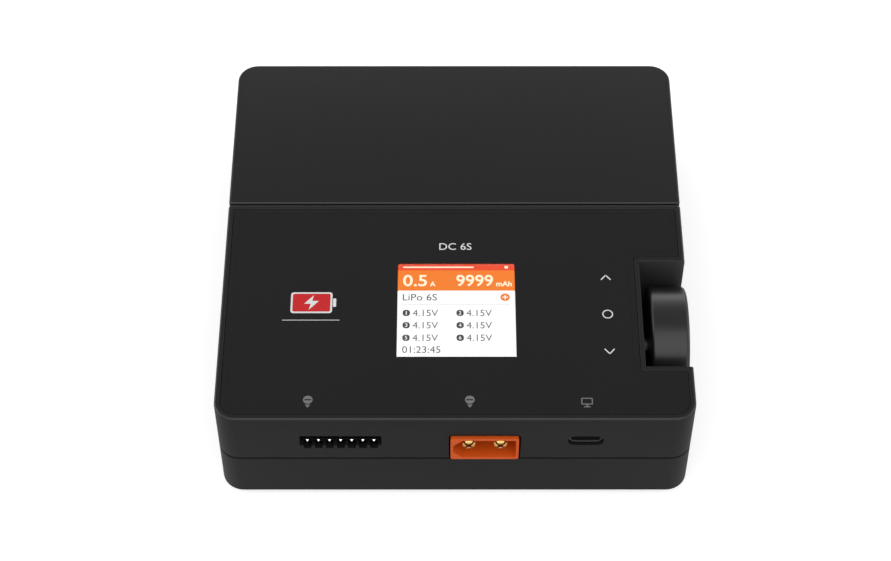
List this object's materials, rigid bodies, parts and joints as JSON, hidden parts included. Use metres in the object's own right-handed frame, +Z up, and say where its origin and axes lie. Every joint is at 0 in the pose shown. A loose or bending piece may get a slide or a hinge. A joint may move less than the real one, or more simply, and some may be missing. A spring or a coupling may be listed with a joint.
{
  "type": "balance battery charger",
  "caption": "Flat two-block battery charger with a square colour display, a press-and-turn wheel in a side notch, balance and high-current sockets, and a slide-off mains supply.",
  "frame": {"origin": "under the middle of the object, on the surface that its feet stand on", "axes": "+X to the right seen from the socket side, +Y from the socket face towards the mains inlet, +Z up out of the display"},
  "size_m": [0.108, 0.1088, 0.0306],
  "materials": {
    "case_plastic": "satin moulded",
    "panel_plastic": "smooth satin",
    "lens": "clear gloss",
    "display": "lit display",
    "marking": "printed",
    "inner_plastic": "moulded",
    "black_plastic": "moulded",
    "wheel_metal": "satin black",
    "orange_nylon": "semi-gloss moulded",
    "gold_plate": "plated",
    "tin_plate": "plated",
    "steel": "machined",
    "aluminium": "extruded",
    "board_laminate": "solder mask",
    "ferrite": "pressed",
    "copper_winding": "enamelled",
    "foot_rubber": "matt",
    "capacitor_sleeve": "shrunk sleeve"
  },
  "bodies": {
    "charger": {"charger_upper_case": "case_plastic", "charger_lower_case": "case_plastic", "front_panel": "panel_plastic", "display_lens": "lens", "display_module": "display", "display_frame": "inner_plastic", "encoder_body": "inner_plastic", "charger_board": "board_laminate", "encoder_board": "board_laminate", "heatsink": "aluminium", "inductor": "ferrite", "charger_capacitor": "capacitor_sleeve", "output_socket": "orange_nylon", "input_socket": "orange_nylon", "output_pin_negative": "gold_plate", "output_pin_positive": "gold_plate", "input_pin_negative": "gold_plate", "input_pin_positive": "gold_plate", "balance_socket": "black_plastic", "usb_tongue": "black_plastic", "fan_frame": "black_plastic", "switch_body": "black_plastic", "balance_pin_1": "tin_plate", "balance_pin_2": "tin_plate", "balance_pin_3": "tin_plate", "balance_pin_4": "tin_plate", "balance_pin_5": "tin_plate", "balance_pin_6": "tin_plate", "balance_pin_7": "tin_plate", "usb_shell": "steel", "shaft_bushing": "steel", "charger_screw_1": "steel", "charger_screw_2": "steel", "charger_screw_3": "steel", "charger_screw_4": "steel", "charger_foot_front": "foot_rubber", "charger_foot_rear": "foot_rubber"},
    "fan_rotor": {"fan_rotor": "inner_plastic"},
    "encoder_rotor": {"encoder_rotor": "black_plastic"},
    "control_wheel": {"control_wheel": "wheel_metal", "wheel_shaft": "steel"},
    "switch_plunger": {"switch_plunger": "inner_plastic"},
    "power_supply": {"supply_upper_case": "case_plastic", "supply_lower_case": "case_plastic", "supply_board": "board_laminate", "supply_heatsink": "aluminium", "supply_plug": "orange_nylon", "supply_screw_1": "steel", "supply_screw_2": "steel", "supply_screw_3": "steel", "supply_screw_4": "steel", "supply_foot_front": "foot_rubber", "supply_foot_rear": "foot_rubber", "transformer_core": "ferrite", "transformer_winding": "copper_winding", "bulk_capacitor": "capacitor_sleeve", "line_choke": "copper_winding", "ac_inlet": "black_plastic", "ac_pin_left": "steel", "ac_pin_right": "steel"}
  },
  "joints": [
    {"name": "wheel_turn", "type": "hinge", "parent": "charger", "child": "encoder_rotor", "pos_m": [0.0369, -0.0236, 0.0165], "axis": [1, 0, 0], "continuous": true},
    {"name": "wheel_press", "type": "slide", "parent": "encoder_rotor", "child": "control_wheel", "axis": [-1, 0, 0], "range_m": [0, 0.0005], "stiffness_N_per_m": 1500, "springref_m": -0.0008},
    {"name": "switch_press", "type": "slide", "parent": "charger", "child": "switch_plunger", "axis": [-1, 0, 0], "range_m": [0, 0.0005]},
    {"name": "fan_spin", "type": "hinge", "parent": "charger", "child": "fan_rotor", "pos_m": [-0.046, -0.02215, 0.0153], "axis": [1, 0, 0], "continuous": true},
    {"name": "supply_slide", "type": "slide", "parent": "charger", "child": "power_supply", "axis": [0, 1, 0], "range_m": [0, 0.02]}
  ],
  "couplings": [
    {"joint": "switch_press", "follows": "wheel_press", "ratio": 1}
  ]
}
